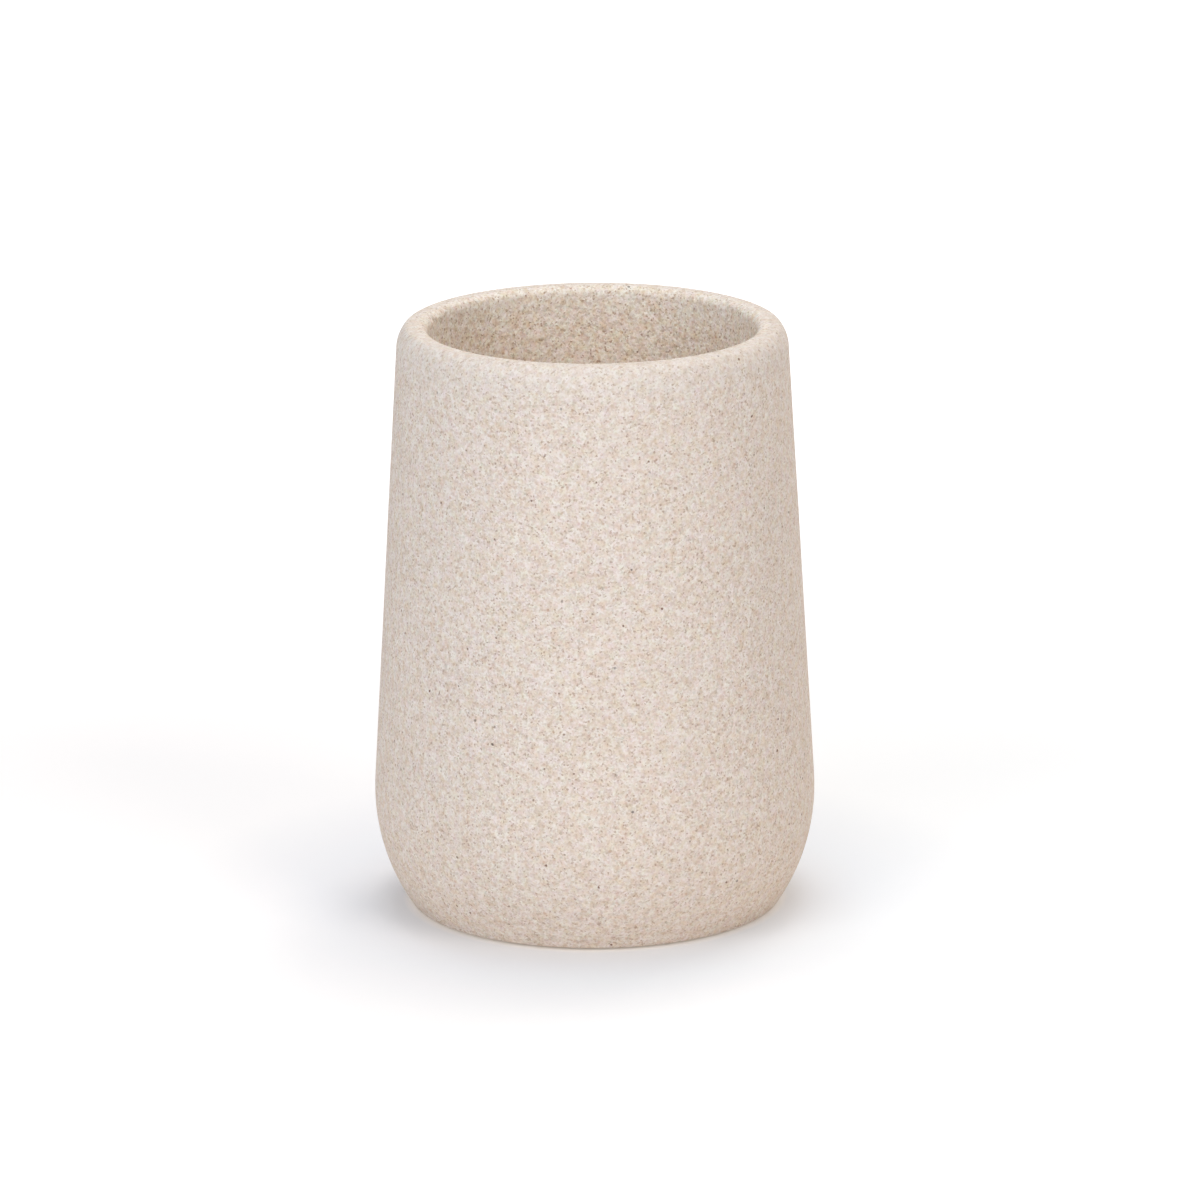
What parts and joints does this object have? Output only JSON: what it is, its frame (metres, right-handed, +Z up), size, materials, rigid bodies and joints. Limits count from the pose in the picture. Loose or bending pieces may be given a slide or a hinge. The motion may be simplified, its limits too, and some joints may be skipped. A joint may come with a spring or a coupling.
{
  "type": "toothbrush holder",
  "caption": "Round free-standing tumbler with a heavy tapered wall, a soft rim and an open mouth that keeps toothbrushes upright, standing on a recessed non-slip pad.",
  "frame": {"origin": "centre of the underside of the base pad, on the table", "axes": "+Z up along the cup's axis of revolution; X and Y lie in the table plane and are alike, because the object is round"},
  "size_m": [0.08, 0.08, 0.1072],
  "materials": {
    "sandstone_resin": "matte",
    "pad_rubber": "matte"
  },
  "bodies": {
    "root": {"cup": "sandstone_resin", "base_pad": "pad_rubber"}
  },
  "joints": []
}
